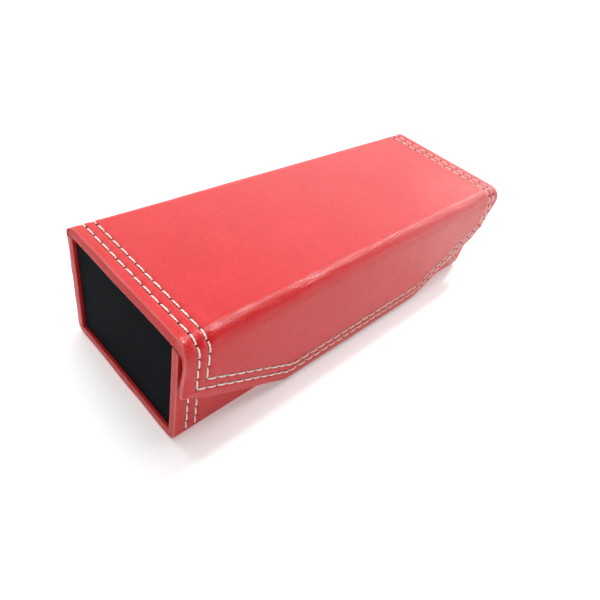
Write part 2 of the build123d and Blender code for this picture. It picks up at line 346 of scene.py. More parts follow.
class Section:
    """A closed outline in the YZ plane, anticlockwise seen from +X, as lines and arcs."""

    def __init__(self, rounding=EDGE_R):
        self.points, self.regions, self.v, self.edge = [], [], [], []
        self.rounding = rounding

    def _add(self, points, region, v, edge):
        self.points += [tuple(p) for p in points]
        self.regions += [region] * len(points)
        self.v += list(v)
        self.edge += [self.rounding if edge is None else edge] * len(points)

    def line(self, start, end, step, region="", edge=None):
        count = max(1, math.ceil(math.dist(start, end) / step - 1e-6))
        t = ends_off(0, 1, count)[:, None]
        points = np.array(start) + t * (np.array(end) - np.array(start))
        level = region in ("lid", "bottom")
        self._add(points, region, points[:, 0 if level else 1], edge)

    def polygon(self, corners, steps):
        for start, end, step in zip(corners, corners[1:] + corners[:1], steps):
            self.line(start, end, step)

    def cut(self, point, region, v):
        """The last point of an outer face, where a joint cuts it off."""
        self._add([point], region, [v], None)

    def arc(self, centre, radius, start, end, steps, region="", v_start=0.0, edge=None):
        angle = ends_off(start, end, steps)
        points = np.array(centre) + radius * np.stack([np.cos(angle), np.sin(angle)], axis=1)
        self._add(points, region, v_start + radius * np.abs(angle - start), edge)

    def arrays(self):
        points = np.array(self.points)
        before, after = np.roll(points, 1, axis=0), np.roll(points, -1, axis=0)

        def right_of(d):
            d = d / np.maximum(np.linalg.norm(d, axis=1, keepdims=True), 1e-9)
            return np.stack([d[:, 1], -d[:, 0]], axis=1)

        normal = right_of(points - before) + right_of(after - points)
        normal = normal / np.maximum(np.linalg.norm(normal, axis=1, keepdims=True), 1e-9)
        return points, normal, np.array(self.regions), np.array(self.v), np.array(self.edge)


def hem_insets():
    """Distances from the wrap's edge of the lines of points, closest at the stitches."""
    places = [1.0, 1.5, 2.0, 2.6]
    for inset in ROWS:
        places += [inset / MM + d for d in (-1.05, -0.7, -0.45, -0.2, 0, 0.2, 0.45, 0.7, 1.05)]
    places += [9.6, 10.4, 10.9, 11.4, 12.5]
    return [place * MM for place in places]


def ruled_x(end, coarse=2.5 * MM, rows=True):
    """Places along the case for a mesh's lines, close together where the stitches are."""
    if rows:
        near = [end] + [HALF - inset for inset in hem_insets()]
    else:
        near = [end, end - 0.5 * MM, end - 1.2 * MM, end - 2 * MM]
    inner = min(near)
    count = max(1, round(inner / coarse))
    near += [inner * i / count for i in range(1, count)]
    near = sorted(set(round(x, 7) for x in near))
    return np.array([-x for x in reversed(near)] + [0.0] + near)


def end_waver(y, z, side):
    """How unevenly the turned end of the wrap lies, the same on pieces that join."""
    return ripple(y, z, END_WAVER[side])


def sweep(name, section, end, material, rows=True, coarse=2.5 * MM, steps=5, reshape=None):
    """Runs a section along the case and rounds its edges over at both ends."""
    points, normal, regions, v, edge = section.arrays()
    n = len(points)
    rings, edges, shades = [], [], []
    core = ruled_x(end - EDGE_R * 1.02, coarse, rows)
    turn = np.linspace(0, math.pi / 2, steps + 1)

    def ring(x_of_point, inset):
        lift, shade = np.zeros(n), np.zeros(n)
        for region in sorted(set(regions)):
            if region in REGIONS:
                here = regions == region
                lift[here] = surface_lift(region, x_of_point[here], v[here])
                shade[here] = seam_marks(region, x_of_point[here], v[here])[1]
        shades.append(shade)
        yz = points + normal * (lift - inset)[:, None]
        return np.column_stack([x_of_point, yz])

    def end_ring(side, angle):
        wobble = end_waver(points[:, 0], points[:, 1], side) if rows else 0.0
        x = side * (end - edge + edge * math.sin(angle)) + side * wobble * math.sin(angle)
        return ring(x, edge * (1 - math.cos(angle)))

    for angle in reversed(turn):
        rings.append(end_ring(-1, angle))
        edges.append(math.sin(2 * angle))
    for x in core:
        rings.append(ring(np.full(n, x), np.zeros(n)))
        edges.append(0.0)
    for angle in turn:
        rings.append(end_ring(1, angle))
        edges.append(math.sin(2 * angle))
    verts = np.concatenate(rings)
    if reshape is not None:
        verts = reshape(verts)
    round_it = v / QUARTER
    folded = smooth(round_it / 0.08) * smooth((1 - round_it) / 0.5)
    marks = {
        # Weights the painted highlight on the turned edges.
        "edge": np.repeat(edges, n) * np.tile(edge > 0, len(rings)),
        "fold": np.tile(np.where(regions == "fold_arc", folded, 0.0), len(rings)),
        # The painted shade along the stitching.
        "painted_seam_shade": np.concatenate(shades),
    }
    return make_piece(name, verts, tube(len(rings), n), material, marks)


# Materials


class Nodes:
    """A small helper that builds one material's node tree."""

    def __init__(self, name):
        self.material = bpy.data.materials.new(name)
        self.material.use_nodes = True
        self.tree = self.material.node_tree
        self.shader = self.tree.nodes["Principled BSDF"]

    def node(self, kind, values=None, **links):
        n = self.tree.nodes.new(kind)
        for key, value in (values or {}).items():
            if hasattr(n, key):
                setattr(n, key, value)
            else:
                n.inputs[key].default_value = value
        for key, source in links.items():
            self.link(source, n.inputs[key])
        return n

    def link(self, source, socket):
        self.tree.links.new(source, socket)

    def feed(self, socket, source):
        """Gives a socket a number or a colour, or a link from another node."""
        if isinstance(source, tuple):
            socket.default_value = (*source, 1)
        elif isinstance(source, (int, float)):
            socket.default_value = source
        else:
            self.link(source, socket)

    def shade(self, **inputs):
        """Feeds the shader's inputs, whose names have underscores here for spaces."""
        for key, source in inputs.items():
            self.feed(self.shader.inputs[key.replace("_", " ")], source)

    def rest(self):
        return self.node("ShaderNodeAttribute", {"attribute_name": "rest"}).outputs["Vector"]

    def place(self):
        return self.node("ShaderNodeTexCoord").outputs["Object"]

    def value(self, name):
        return self.node("ShaderNodeAttribute", {"attribute_name": name}).outputs["Fac"]

    def noise(self, vector, scale, detail=3.0, roughness=0.5):
        values = {"Scale": scale, "Detail": detail, "Roughness": roughness}
        return self.node("ShaderNodeTexNoise", values, Vector=vector).outputs["Fac"]

    def cells(self, vector, scale, wall):
        """0 on the walls between cells, 1 where their distance is more than wall."""
        values = {"feature": "DISTANCE_TO_EDGE", "Scale": scale}
        n = self.node("ShaderNodeTexVoronoi", values, Vector=vector)
        return self.spread(n.outputs["Distance"], 0.0, wall)

    def spread(self, source, low, high, out_low=0.0, out_high=1.0):
        limits = {"From Min": low, "From Max": high, "To Min": out_low, "To Max": out_high}
        return self.node("ShaderNodeMapRange", limits, Value=source).outputs["Result"]

    def times(self, a, b):
        return self.maths("MULTIPLY", a, b)

    def maths(self, operation, a, b):
        n = self.node("ShaderNodeMath", {"operation": operation})
        self.feed(n.inputs[0], a)
        self.feed(n.inputs[1], b)
        return n.outputs["Value"]

    def mix(self, factor, a, b):
        n = self.node("ShaderNodeMix", {"data_type": "RGBA"})
        for place, source in ((0, factor), (6, a), (7, b)):
            self.feed(n.inputs[place], source)
        return n.outputs[2]

    def tint(self, source, low, high, a, b, most=1.0):
        """Colour a where the source is low, b where it is high."""
        return self.mix(self.spread(source, low, high, 0.0, most), a, b)

    def bump(self, height, distance, strength=1.0, under=None):
        n = self.node("ShaderNodeBump", {"Distance": distance}, Height=height)
        self.feed(n.inputs["Strength"], strength)
        if under is not None:
            self.link(under, n.inputs["Normal"])
        return n.outputs["Normal"]


def leather_material():
    """Smooth grained red PU: fine pebbles with painted shade in their crevices, soft gloss, a painted
    highlight on the turned edges, painted shade along the stitching, crackled fold.
    """
    m = Nodes("red_leather_look")
    rest, edge, fold, painted_seam_shade = m.rest(), m.value("edge"), m.value("fold"), m.value("painted_seam_shade")
    pebble = m.cells(rest, 1600.0, 0.22)
    crackle = m.cells(rest, 1300.0, 0.25)
    pores = m.noise(rest, 5200.0, 4.0, 0.6)
    swell = m.noise(rest, 260.0, 3.0, 0.55)
    mottle = m.noise(rest, 38.0, 4.0, 0.6)
    base = m.tint(mottle, 0.25, 0.55, (0.560, 0.013, 0.015), (0.615, 0.018, 0.020))
    base = m.tint(mottle, 0.55, 0.8, base, (0.670, 0.025, 0.027))
    # Painted shade: darker in the crevices between the pebbles.
    base = m.mix(m.spread(pebble, 0.0, 0.8, 0.45, 0.0), base, (0.36, 0.005, 0.007))
    base = m.tint(pores, 0.62, 0.8, base, (0.80, 0.12, 0.11), 0.20)
    # Painted highlight: the turned edges are mixed towards a pale pink.
    base = m.mix(m.times(edge, 0.30), base, (0.95, 0.42, 0.38))
    # Painted shade: darker in the stitch groove and round the needle holes.
    base = m.mix(m.times(painted_seam_shade, 0.75), base, (0.08, 0.008, 0.006))
    uneven = m.maths("ADD", m.times(pores, 0.6), m.times(swell, 0.4))
    rough = m.times(m.spread(uneven, 0.3, 0.7, 0.26, 0.40), m.spread(fold, 0.0, 1.0, 1.0, 0.36))
    low = m.bump(swell, 0.00022, 0.35)
    grain = m.bump(pebble, 0.00004, 0.6, low)
    fine = m.bump(pores, 0.00002, 0.6, grain)
    folded = m.bump(crackle, 0.00005, m.times(fold, 0.9), fine)
    shine = m.spread(fold, 0.0, 1.0, 0.24, 0.5)
    m.shade(Base_Color=base, Roughness=rough, Specular_IOR_Level=shine, Normal=folded)
    return m.material


def fabric_material(name, dark, light, pile, sheen):
    """Short-pile black fabric: fine fibres, faint lint and a soft sheen."""
    m = Nodes(name)
    rest = m.rest()
    fibre = m.noise(rest, pile, 6.0, 0.75)
    patch = m.noise(rest, 60.0, 3.0, 0.5)
    lint = m.noise(rest, 900.0, 2.0, 0.4)
    base = m.tint(fibre, 0.35, 0.7, dark, light)
    base = m.tint(patch, 0.4, 0.7, base, light, 0.35)
    base = m.tint(lint, 0.74, 0.80, base, (0.05, 0.055, 0.075), 0.5)
    m.shade(Base_Color=base, Roughness=0.92, Specular_IOR_Level=0.06, Sheen_Weight=sheen,
            Sheen_Roughness=0.45, Normal=m.bump(fibre, 0.00018, 0.8))
    return m.material


def thread_material():
    """Twisted cream sewing thread: fine fibres, with painted shade darkening it where the fibres lie low."""
    m = Nodes("cream_thread")
    rest = m.rest()
    fibre = m.noise(rest, 9000.0, 3.0, 0.6)
    tone = m.noise(rest, 400.0, 2.0, 0.5)
    base = m.tint(tone, 0.35, 0.7, (0.92, 0.82, 0.72), (0.98, 0.94, 0.87))
    # Painted shade: darker where the fibres lie low.
    base = m.mix(m.spread(fibre, 0.3, 0.6, 0.12, 0.0), base, (0.60, 0.46, 0.36))
    m.shade(Base_Color=base, Roughness=0.62, Sheen_Weight=0.25, Normal=m.bump(fibre, 0.00004, 0.6))
    return m.material


def hole_material():
    """The inside of a needle hole, painted near black as painted shade, with a trace of red at its rim."""
    m = Nodes("needle_hole")
    rest = m.rest()
    tone = m.noise(rest, 2500.0, 2.0, 0.5)
    base = m.tint(tone, 0.35, 0.7, (0.010, 0.006, 0.003), (0.05, 0.014, 0.009))
    m.shade(Base_Color=base, Roughness=0.9, Specular_IOR_Level=0.1)
    return m.material


def board_material():
    """Raw greyboard: flecked, matt paper pulp."""
    m = Nodes("greyboard")
    place = m.place()
    fleck = m.noise(place, 700.0, 6.0, 0.7)
    base = m.tint(fleck, 0.35, 0.7, (0.30, 0.27, 0.23), (0.46, 0.43, 0.38))
    m.shade(Base_Color=base, Roughness=0.9, Normal=m.bump(fleck, 0.0001, 0.5))
    return m.material


def magnet_material():
    """Nickel-plated disc with faint turning marks."""
    m = Nodes("nickel_magnet")
    place = m.place()
    haze = m.noise(place, 500.0, 4.0, 0.6)
    m.shade(Base_Color=(0.62, 0.62, 0.64), Metallic=1.0, Roughness=m.spread(haze, 0.3, 0.7, 0.22, 0.38),
            Normal=m.bump(haze, 0.00002, 0.4))
    return m.material


red = leather_material()
end_colours = ((0.0008, 0.0013, 0.0022), (0.004, 0.007, 0.011))
end_fabric = fabric_material("black_end_fabric", *end_colours, pile=2600.0, sheen=0.01)
lining_colours = ((0.004, 0.004, 0.005), (0.014, 0.014, 0.016))
lining_fabric = fabric_material("black_lining", *lining_colours, pile=2200.0, sheen=0.08)
thread = thread_material()
hole = hole_material()
greyboard = board_material()
nickel = magnet_material()


# The wrap

FINE = 0.5 * MM
WIDE = 2.5 * MM
INNER_R = 0.4 * MM
TOP_EDGE_R = 0.9 * MM


def tray_section():
    """The wrapped walls of the tray: front wall, bottom and back wall up to the bending strip."""
    s = Section()
    inner_front, inner_back, inner_low = FRONT + WRAPPED, BACK - WRAPPED, WRAPPED
    s.line((FRONT, WALL_TOP - TOP_EDGE_R), (FRONT, BOTTOM_R), FINE, "front")
    s.arc((FRONT + BOTTOM_R, BOTTOM_R), BOTTOM_R, FORWARD, FORWARD + UP, 8, "front_corner")
    s.line((FRONT + BOTTOM_R, 0), (BACK - BOTTOM_R, 0), FINE, "bottom")
    s.arc((BACK - BOTTOM_R, BOTTOM_R), BOTTOM_R, DOWN, 0, 8, "back_corner")
    s.line((BACK, BOTTOM_R), (BACK, ARC_Z), FINE, "back")
    s.arc(BACK_ARC, TOP_R, 0, HINGE_START, 3, "back_arc")
    top_angle = math.asin((WALL_TOP - ARC_Z) / STRIP_R)
    s.cut(on_arc(BACK_ARC, TOP_R, HINGE_START), "back_arc", TOP_R * HINGE_START)
    s.arc(BACK_ARC, STRIP_R, HINGE_START, top_angle, 2, edge=0)
    s.line(on_arc(BACK_ARC, STRIP_R, top_angle), (inner_back + INNER_R, WALL_TOP), WIDE)
    s.arc((inner_back + INNER_R, WALL_TOP - INNER_R), INNER_R, UP, FORWARD, 3)
    s.line((inner_back, WALL_TOP - INNER_R), (inner_back, inner_low + INNER_R), WIDE)
    s.arc((inner_back - INNER_R, inner_low + INNER_R), INNER_R, 0, DOWN, 3)
    s.line((inner_back - INNER_R, inner_low), (inner_front + INNER_R, inner_low), WIDE)
    s.arc((inner_front + INNER_R, inner_low + INNER_R), INNER_R, DOWN, -FORWARD, 3)
    s.line((inner_front, inner_low + INNER_R), (inner_front, WALL_TOP - TOP_EDGE_R), WIDE)
    s.arc((inner_front - TOP_EDGE_R, WALL_TOP - TOP_EDGE_R), TOP_EDGE_R, 0, UP, 5)
    s.line((inner_front - TOP_EDGE_R, WALL_TOP), (FRONT + TOP_EDGE_R, WALL_TOP), WIDE)
    s.arc((FRONT + TOP_EDGE_R, WALL_TOP - TOP_EDGE_R), TOP_EDGE_R, UP, FORWARD, 5)
    return s


def hinge_section():
    """The strip of wrap that bends at the back crease."""
    s = Section()
    s.arc(BACK_ARC, TOP_R, HINGE_START, HINGE_END, 14, "back_arc", TOP_R * HINGE_START)
    s.cut(on_arc(BACK_ARC, TOP_R, HINGE_END), "back_arc", TOP_R * HINGE_END)
    s.arc(BACK_ARC, STRIP_R, HINGE_END, HINGE_START, 14, edge=0)
    low_inner, low_outer = on_arc(BACK_ARC, STRIP_R, HINGE_START), on_arc(BACK_ARC, TOP_R, HINGE_START)
    s.line(low_inner, low_outer, LEATHER, edge=0)
    return s


def lid_section():
    """The wrapped lid, from the bending strip at the back to the flat start of the fold."""
    s = Section()
    under = TOP - WRAPPED
    fold_start = FRONT_ARC[0] + FOLD_FLAT
    low_angle = math.asin((under - ARC_Z) / STRIP_R)
    s.arc(BACK_ARC, TOP_R, HINGE_END, UP, 12, "back_arc", TOP_R * HINGE_END)
    s.line((BACK_ARC[0], TOP), (fold_start, TOP), FINE, "lid")
    s.cut((fold_start, TOP), "lid", fold_start)
    s.line((fold_start, under), on_arc(BACK_ARC, STRIP_R, low_angle), WIDE)
    s.arc(BACK_ARC, STRIP_R, low_angle, HINGE_END, 8, edge=0)
    s.line(on_arc(BACK_ARC, STRIP_R, HINGE_END), on_arc(BACK_ARC, TOP_R, HINGE_END), LEATHER, edge=0)
    return s


def fold_section():
    """The soft fold between lid and flap, with a little flat on each side."""
    s = Section()
    under = TOP - WRAPPED
    inside = FLAP_FRONT + WRAPPED
    inner_r = TOP_R - WRAPPED
    lid_edge = FRONT_ARC[0] + FOLD_FLAT
    flap_edge = ARC_Z - FOLD_FLAT
    s.line((lid_edge, TOP), (FRONT_ARC[0], TOP), FINE, "lid")
    s.arc(FRONT_ARC, TOP_R, UP, FORWARD, 28, "fold_arc")
    s.line((FLAP_FRONT, ARC_Z), (FLAP_FRONT, flap_edge), FINE, "flap")
    s.cut((FLAP_FRONT, flap_edge), "flap", flap_edge)
    s.line((inside, flap_edge), (inside, ARC_Z), FINE)
    s.arc(FRONT_ARC, inner_r, FORWARD, UP, 14)
    s.line((FRONT_ARC[0], under), (lid_edge, under), FINE)
    s.line((lid_edge, under), (lid_edge, TOP), WRAPPED, edge=0)
    return s


def rounded_path(corners, radii, counts):
    """Points along an open path whose inner corners are rounded, with fixed counts per stretch."""
    corners = [np.array(c, float) for c in corners]
    starts, ends, centres = [corners[0]], [], []
    for before, here, after, radius in zip(corners, corners[1:], corners[2:], radii):
        a = (before - here) / np.linalg.norm(before - here)
        b = (after - here) / np.linalg.norm(after - here)
        half_angle = math.acos(float(np.clip(a @ b, -1, 1))) / 2
        cut = radius / math.tan(half_angle)
        centres.append(here + (a + b) / np.linalg.norm(a + b) * radius / math.sin(half_angle))
        ends.append(here + a * cut)
        starts.append(here + b * cut)
    ends.append(corners[-1])
    points = []
    for i, (start, end) in enumerate(zip(starts, ends)):
        t = ends_off(0, 1, counts[2 * i])[:, None]
        points.append(start + t * (end - start))
        if i < len(centres):
            points.append(arc_between(centres[i], end, starts[i + 1], counts[2 * i + 1]))
    points.append(corners[-1][None])
    return np.concatenate(points)


def arc_between(centre, start, end, count):
    """Points from start round the centre, short of end."""
    first, last = (math.atan2(*(point - centre)[::-1]) for point in (start, end))
    turn = (last - first + math.pi) % (2 * math.pi) - math.pi
    angle = first + turn * ends_off(0, 1, count)
    return centre + np.linalg.norm(start - centre) * np.stack([np.cos(angle), np.sin(angle)], axis=1)


FLAP_TOP = ARC_Z - FOLD_FLAT
BACK_INSETS = (1.0, 2.0, 2.5, 2.75, 3.0, 3.2, 3.4, 6.0, 12.5)


def flap_counts():
    """How many points each straight and each rounded corner of the flap's outline has."""
    corners = flap_corners(ROWS[0])
    straight = [max(4, round(math.dist(a, b) / FINE)) for a, b in zip(corners, corners[1:])]
    return [straight[0], 6, straight[1], 8, straight[2], 8, straight[3], 6, straight[4]]


def flap_outline(inset):
    """The flap's outline, so far in from its edge, from the fold round to the fold."""
    corners = flap_corners(inset)
    corners[0] = (corners[0][0], FLAP_TOP)
    corners[-1] = (corners[-1][0], FLAP_TOP)
    corner, bend = max(FLAP_CORNER_R - inset, LEAST_R), max(FLAP_BEND_R - inset, LEAST_R)
    return rounded_path(corners, [corner, bend, bend, corner], flap_counts())


def flap_rings():
    """The flap's rings from its outer face over the edge to the back: inset, depth, share turned."""
    turn = np.linspace(0, math.pi / 2, 6)
    rings = [(inset, 0.0, 0.0) for inset in reversed(hem_insets())]
    for a in turn:
        rings.append((EDGE_R - EDGE_R * math.sin(a), EDGE_R - EDGE_R * math.cos(a), math.sin(2 * a)))
    for a in turn[1:]:
        depth = BORDER_THICKNESS - EDGE_R + EDGE_R * math.sin(a)
        rings.append((EDGE_R - EDGE_R * math.cos(a), depth, math.sin(2 * a)))
    return rings + [(d * MM, border_depth(d * MM), 0.0) for d in BACK_INSETS]


def flap_ring(inset, sunk):
    """One ring of the flap: uneven at the edge, curled at the free ends, and how dark the painted shade of
    its seams is.
    """
    line = flap_outline(inset)
    outward = line - np.array([0.0, FLAP_TOP])
    outward = outward / np.linalg.norm(outward, axis=1, keepdims=True)
    fade = smooth((FLAP_TOP - line[:, 1]) / WAVER_FADE)
    waver = ripple(line[:, 0], line[:, 1], FLAP_WAVER) * max(0.0, 1 - inset / WAVER_REACH)
    line = line + outward * (waver * fade)[:, None]
    y = np.full(len(line), FLAP_FRONT + sunk)
    side = np.sign(line[:, 0])
    joined = np.where(side > 0, end_waver(y, line[:, 1], 1), end_waver(y, line[:, 1], -1))
    line[:, 0] += side * joined * (1 - fade) * max(0.0, 1 - inset / EDGE_R)
    shade = np.zeros(len(line))
    if sunk < EDGE_R:
        y = y - surface_lift("flap", line[:, 0], line[:, 1]) * (1 - sunk / EDGE_R)
        shade = seam_marks("flap", line[:, 0], line[:, 1])[1]
    at_end = 0.25 + 0.75 * smooth((np.abs(line[:, 0]) - (HALF - 2 * BORDER)) / BORDER)
    curl = BORDER_CURL * (1 - min(inset / BORDER, 1.0)) ** 2
    return np.column_stack([line[:, 0], y + curl * at_end * fade, line[:, 1]]), shade


def middle_grid(ring, first, start, front_face):
    """Fills in a ring of the flap: new points, numbered from start, the faces and its top row."""
    inset, sunk, _ = ring
    line = flap_outline(inset)
    n, rows = len(line), flap_counts()[0]
    columns = list(range(rows, n - rows))
    share = np.arange(1, rows + 1) / rows
    inner = line[columns[1:-1]]
    x = np.repeat(inner[:, 0], rows)
    z = (inner[:, 1:] + (FLAP_TOP - inner[:, 1:]) * share).ravel()
    y = np.full(len(x), FLAP_FRONT + sunk)
    if front_face:
        y = y - surface_lift("flap", x, z)

    def vertex(i, j):
        if j == 0:
            return first + i
        if i == columns[0]:
            return first + rows - j
        if i == columns[-1]:
            return first + n - 1 - rows + j
        return start + (i - columns[1]) * rows + j - 1

    faces = []
    for a, b in zip(columns, columns[1:]):
        for j in range(rows):
            quad = (vertex(a, j), vertex(b, j), vertex(b, j + 1), vertex(a, j + 1))
            faces.append(quad if front_face else tuple(reversed(quad)))
    return np.column_stack([x, y, z]), faces, [vertex(i, rows) for i in columns]


def flap_mesh(name, material):
    """The wrapped flap: rings that follow its edge, over the edge and back, and flat middles."""
    rings = flap_rings()
    made = [flap_ring(inset, sunk) for inset, sunk, _ in rings]
    n, last = len(made[0][0]), len(rings) - 1
    verts = np.concatenate([points for points, _ in made])
    faces = [face for j in range(last) for face in band(j * n, (j + 1) * n, n, closed=False)]
    front, front_faces, top_front = middle_grid(rings[0], 0, len(verts), True)
    verts = np.concatenate([verts, front])
    back, back_faces, top_back = middle_grid(rings[-1], last * n, len(verts), False)
    verts = np.concatenate([verts, back])
    left = [j * n for j in range(len(rings))]
    right = [j * n + n - 1 for j in range(len(rings))]
    cap = left[1:] + top_back[1:-1] + right[:0:-1] + top_front[::-1]
    faces += front_faces + back_faces + [tuple(dict.fromkeys(cap))]
    plain = np.zeros(len(front) + len(back))
    marks = {
        # Weights the painted highlight on the turned edges.
        "edge": np.concatenate([np.repeat([turned for _, _, turned in rings], n), plain]),
        # The painted shade along the stitching.
        "painted_seam_shade": np.concatenate([shade for _, shade in made] + [plain]),
    }
    return make_piece(name, slip(verts, "flap"), faces, material, marks)


def border_depth(inset):
    """The flap's thickness so far in from its edge: thin without a board, then full."""
    full = float(smooth((inset - BORDER + 1.0 * MM) / (0.9 * MM)))
    return BORDER_THICKNESS + (WRAPPED - BORDER_THICKNESS) * full


def fold_place(points):
    """Where points lie: depth under the outer face, share from lid to flap, way out."""
    y, z = points[:, 1] - FRONT_ARC[0], points[:, 2] - ARC_Z
    radius = np.hypot(y, z)
    on_lid, on_flap = y > 0, (y <= 0) & (z < 0)
    turned = smooth((np.arctan2(z, y) - math.pi / 2) / (math.pi / 2))
    share = np.where(on_lid, 0.0, np.where(on_flap, 1.0, turned))
    depth = np.where(on_lid, TOP - points[:, 2], np.where(on_flap, points[:, 1] - FLAP_FRONT, TOP_R - radius))
    out = np.stack([np.zeros(len(y)), y / radius, z / radius], axis=1)
    out[on_lid] = (0, 0, 1)
    out[on_flap] = (0, -1, 0)
    return depth, share, out


def thin_ends(points):
    """Thins the fold's ends towards the flap, whose border has no board in it."""
    depth, share, out = fold_place(points)
    near = smooth((np.abs(points[:, 0]) - (HALF - BORDER - 0.4 * MM)) / (0.9 * MM))
    inside = smooth((depth - 0.4 * MM) / (0.5 * MM))
    cut = near * share * inside * (1 - BORDER_THICKNESS / WRAPPED)
    return points + out * (np.maximum(depth, 0) * cut)[:, None]


def tilt_end(points):
    """Leans the lid's near end, so that its face looks up a little and the turned edge stands out."""
    depth, share, _ = fold_place(points)
    near = smooth((-points[:, 0] - (HALF - 1.5 * MM)) / (1.0 * MM))
    moved = points.copy()
    moved[:, 0] += LID_LEAN * (1 - np.clip(depth / WRAPPED, 0, 1)) * near * (1 - share)
    return moved


def slip(points, owner):
    """Slides the lid, fold and flap a little along the case, and twists the bending strip to suit."""
    share = float(owner in ("lid", "fold", "flap"))
    if owner == "hinge":
        angle = np.arctan2(points[:, 2] - BACK_ARC[1], points[:, 1] - BACK_ARC[0])
        share = np.clip((angle - HINGE_START) / (HINGE_END - HINGE_START), 0, 1)
    moved = points.copy()
    moved[:, 0] -= LID_SLIP * share
    return moved


def attach(piece, owner, node=None):
    """Lets a piece ride on its body, or, for the hinge and the fold, bakes its place into its mesh; hides the
    CAD node it replaces.
    """
    if owner == "hinge":
        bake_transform(piece)
    elif owner == "fold":
        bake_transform(piece)
    else:
        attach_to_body(piece, owner)
    if node:
        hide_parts(node)


def swept_wrap(owner, section, reshape, coarse=2.5 * MM):
    piece = sweep(f"{owner}_wrap", section, HALF, red, coarse=coarse, reshape=reshape)
    attach(piece, owner, f"{owner}_{'cover' if owner in ('tray', 'lid') else 'leather'}")


swept_wrap("tray", tray_section(), None)
swept_wrap("lid", lid_section(), lambda p: slip(tilt_end(p), "lid"))
attach(flap_mesh("flap_wrap", red), "flap", "flap_cover")
swept_wrap("hinge", hinge_section(), lambda p: slip(p, "hinge"))
swept_wrap("fold", fold_section(), lambda p: slip(tilt_end(thin_ends(p)), "fold"), 0.7 * MM)


# Stitching

THREAD_R = 0.175 * MM
PLY_OFFSET = 0.115 * MM
PLY_FLATNESS = 0.55
TWISTS = 1.6
SLANT = 0.07 * MM
END_GAP = 0.30 * MM
STITCH_HEIGHT = 0.24 * MM
STITCH_DIVE = 0.55 * MM
WANDER = 0.05 * MM
UNEVEN_HEIGHT = 0.02 * MM
HOLE_LONG, HOLE_WIDE = 0.44 * MM, 0.30 * MM
HOLE_DEPTH = 0.35 * MM
HOLE_RIM = ((1.0, -0.01 * MM), (0.75, 0.04 * MM))


def stitch_points(region, start, end, count):
    """The middle line of each stitch of a run, as points and outward normals."""
    a, size, way, side = run_axes(start, end)
    pitch = size / count
    rng = np.random.default_rng(int(abs(a[0] * 7e4) + abs(a[1] * 5e5) + count))
    t = np.linspace(-1, 1, 15)
    for i in range(count):
        jitter = rng.normal(0, WANDER, 2)
        along = (i + 0.5) * pitch + t * (0.5 * pitch - END_GAP) + jitter[0]
        across = SLANT * t + jitter[1]
        uv = a + along[:, None] * way + across[:, None] * side
        point, normal = REGIONS[region](uv[:, 0], uv[:, 1])
        uneven = rng.normal(0, UNEVEN_HEIGHT)
        height = STITCH_HEIGHT - GROOVE_DEPTH - STITCH_DIVE * np.abs(t) ** 6 + uneven
        yield point + normal * height[:, None], normal


def plies(centre, normal, around):
    """The two twisted plies of a stitch, each as rings of points about its own line."""
    step = np.gradient(centre, axis=0)
    step /= np.linalg.norm(step, axis=1, keepdims=True)
    side = np.cross(step, normal)
    side /= np.linalg.norm(side, axis=1, keepdims=True)
    up = np.cross(side, step)
    twist = np.linspace(0, 2 * math.pi * TWISTS, len(centre))
    thick = np.cos(around)[:, None] * side[:, None, :] + np.sin(around)[:, None] * up[:, None, :]
    for ply in (0, math.pi):
        offset = np.cos(twist + ply)[:, None] * side + PLY_FLATNESS * np.sin(twist + ply)[:, None] * up
        yield (centre + PLY_OFFSET * offset)[:, None, :] + THREAD_R * thick


def stitches(name, owner):
    """All of one body's stitches, each of two twisted plies."""
    verts, faces = [], []
    sides = 6
    around = ends_off(0, 2 * math.pi, sides)
    for region, start, end, count in runs_of(owner):
        for centre, normal in stitch_points(region, start, end, count):
            for ply in plies(centre, normal, around):
                base = len(verts) * sides * len(centre)
                verts.append(ply.reshape(-1, 3))
                faces += [tuple(base + i for i in face) for face in tube(len(centre), sides)]
    return make_piece(name, slip(np.concatenate(verts), owner), faces, thread, sharp=80)


def needle_holes(name, owner):
    """A slightly hollow dish, painted dark as painted shade, where each stitch goes down into the wrap."""
    verts, faces = [], []
    n = 10
    around = ends_off(0, 2 * math.pi, n)
    for region, start, end, count in runs_of(owner):
        a, size, way, side = run_axes(start, end)
        oval = HOLE_LONG * np.cos(around)[:, None] * way + HOLE_WIDE * np.sin(around)[:, None] * side
        for i in range(count + 1):
            middle = a + way * size * i / count
            base = len(verts) * (2 * n + 1) // 3
            for share, proud in HOLE_RIM:
                uv = middle + share * oval
                point, normal = REGIONS[region](uv[:, 0], uv[:, 1])
                lift = surface_lift(region, uv[:, 0], uv[:, 1])
                verts.append(point + normal * (lift + proud)[:, None])
            low, normal = REGIONS[region](middle[0], middle[1])
            verts.append((low - normal * (GROOVE_DEPTH + PUCKER_DEPTH + HOLE_DEPTH))[None])
            faces += band(base, base + n, n)
            faces.append(tuple(base + n + j for j in range(n)))
            faces += [(base + (j + 1) % n, base + j, base + 2 * n) for j in range(n)]
    return make_piece(name, slip(np.concatenate(verts), owner), faces, hole, sharp=80)


for owner in ("tray", "lid", "flap", "hinge", "fold"):
    attach(stitches(f"{owner}_stitches", owner), owner, f"{owner}_stitching")
    attach(needle_holes(f"{owner}_needle_holes", owner), owner)


# Black ends and linings


PANEL_EDGE_R = 0.45 * MM
PANEL_CORNER_R = 0.8 * MM
PANEL_SPACING = 1.6 * MM
PANEL_SINK = 0.05 * MM
PANEL_BULGE = 0.12 * MM


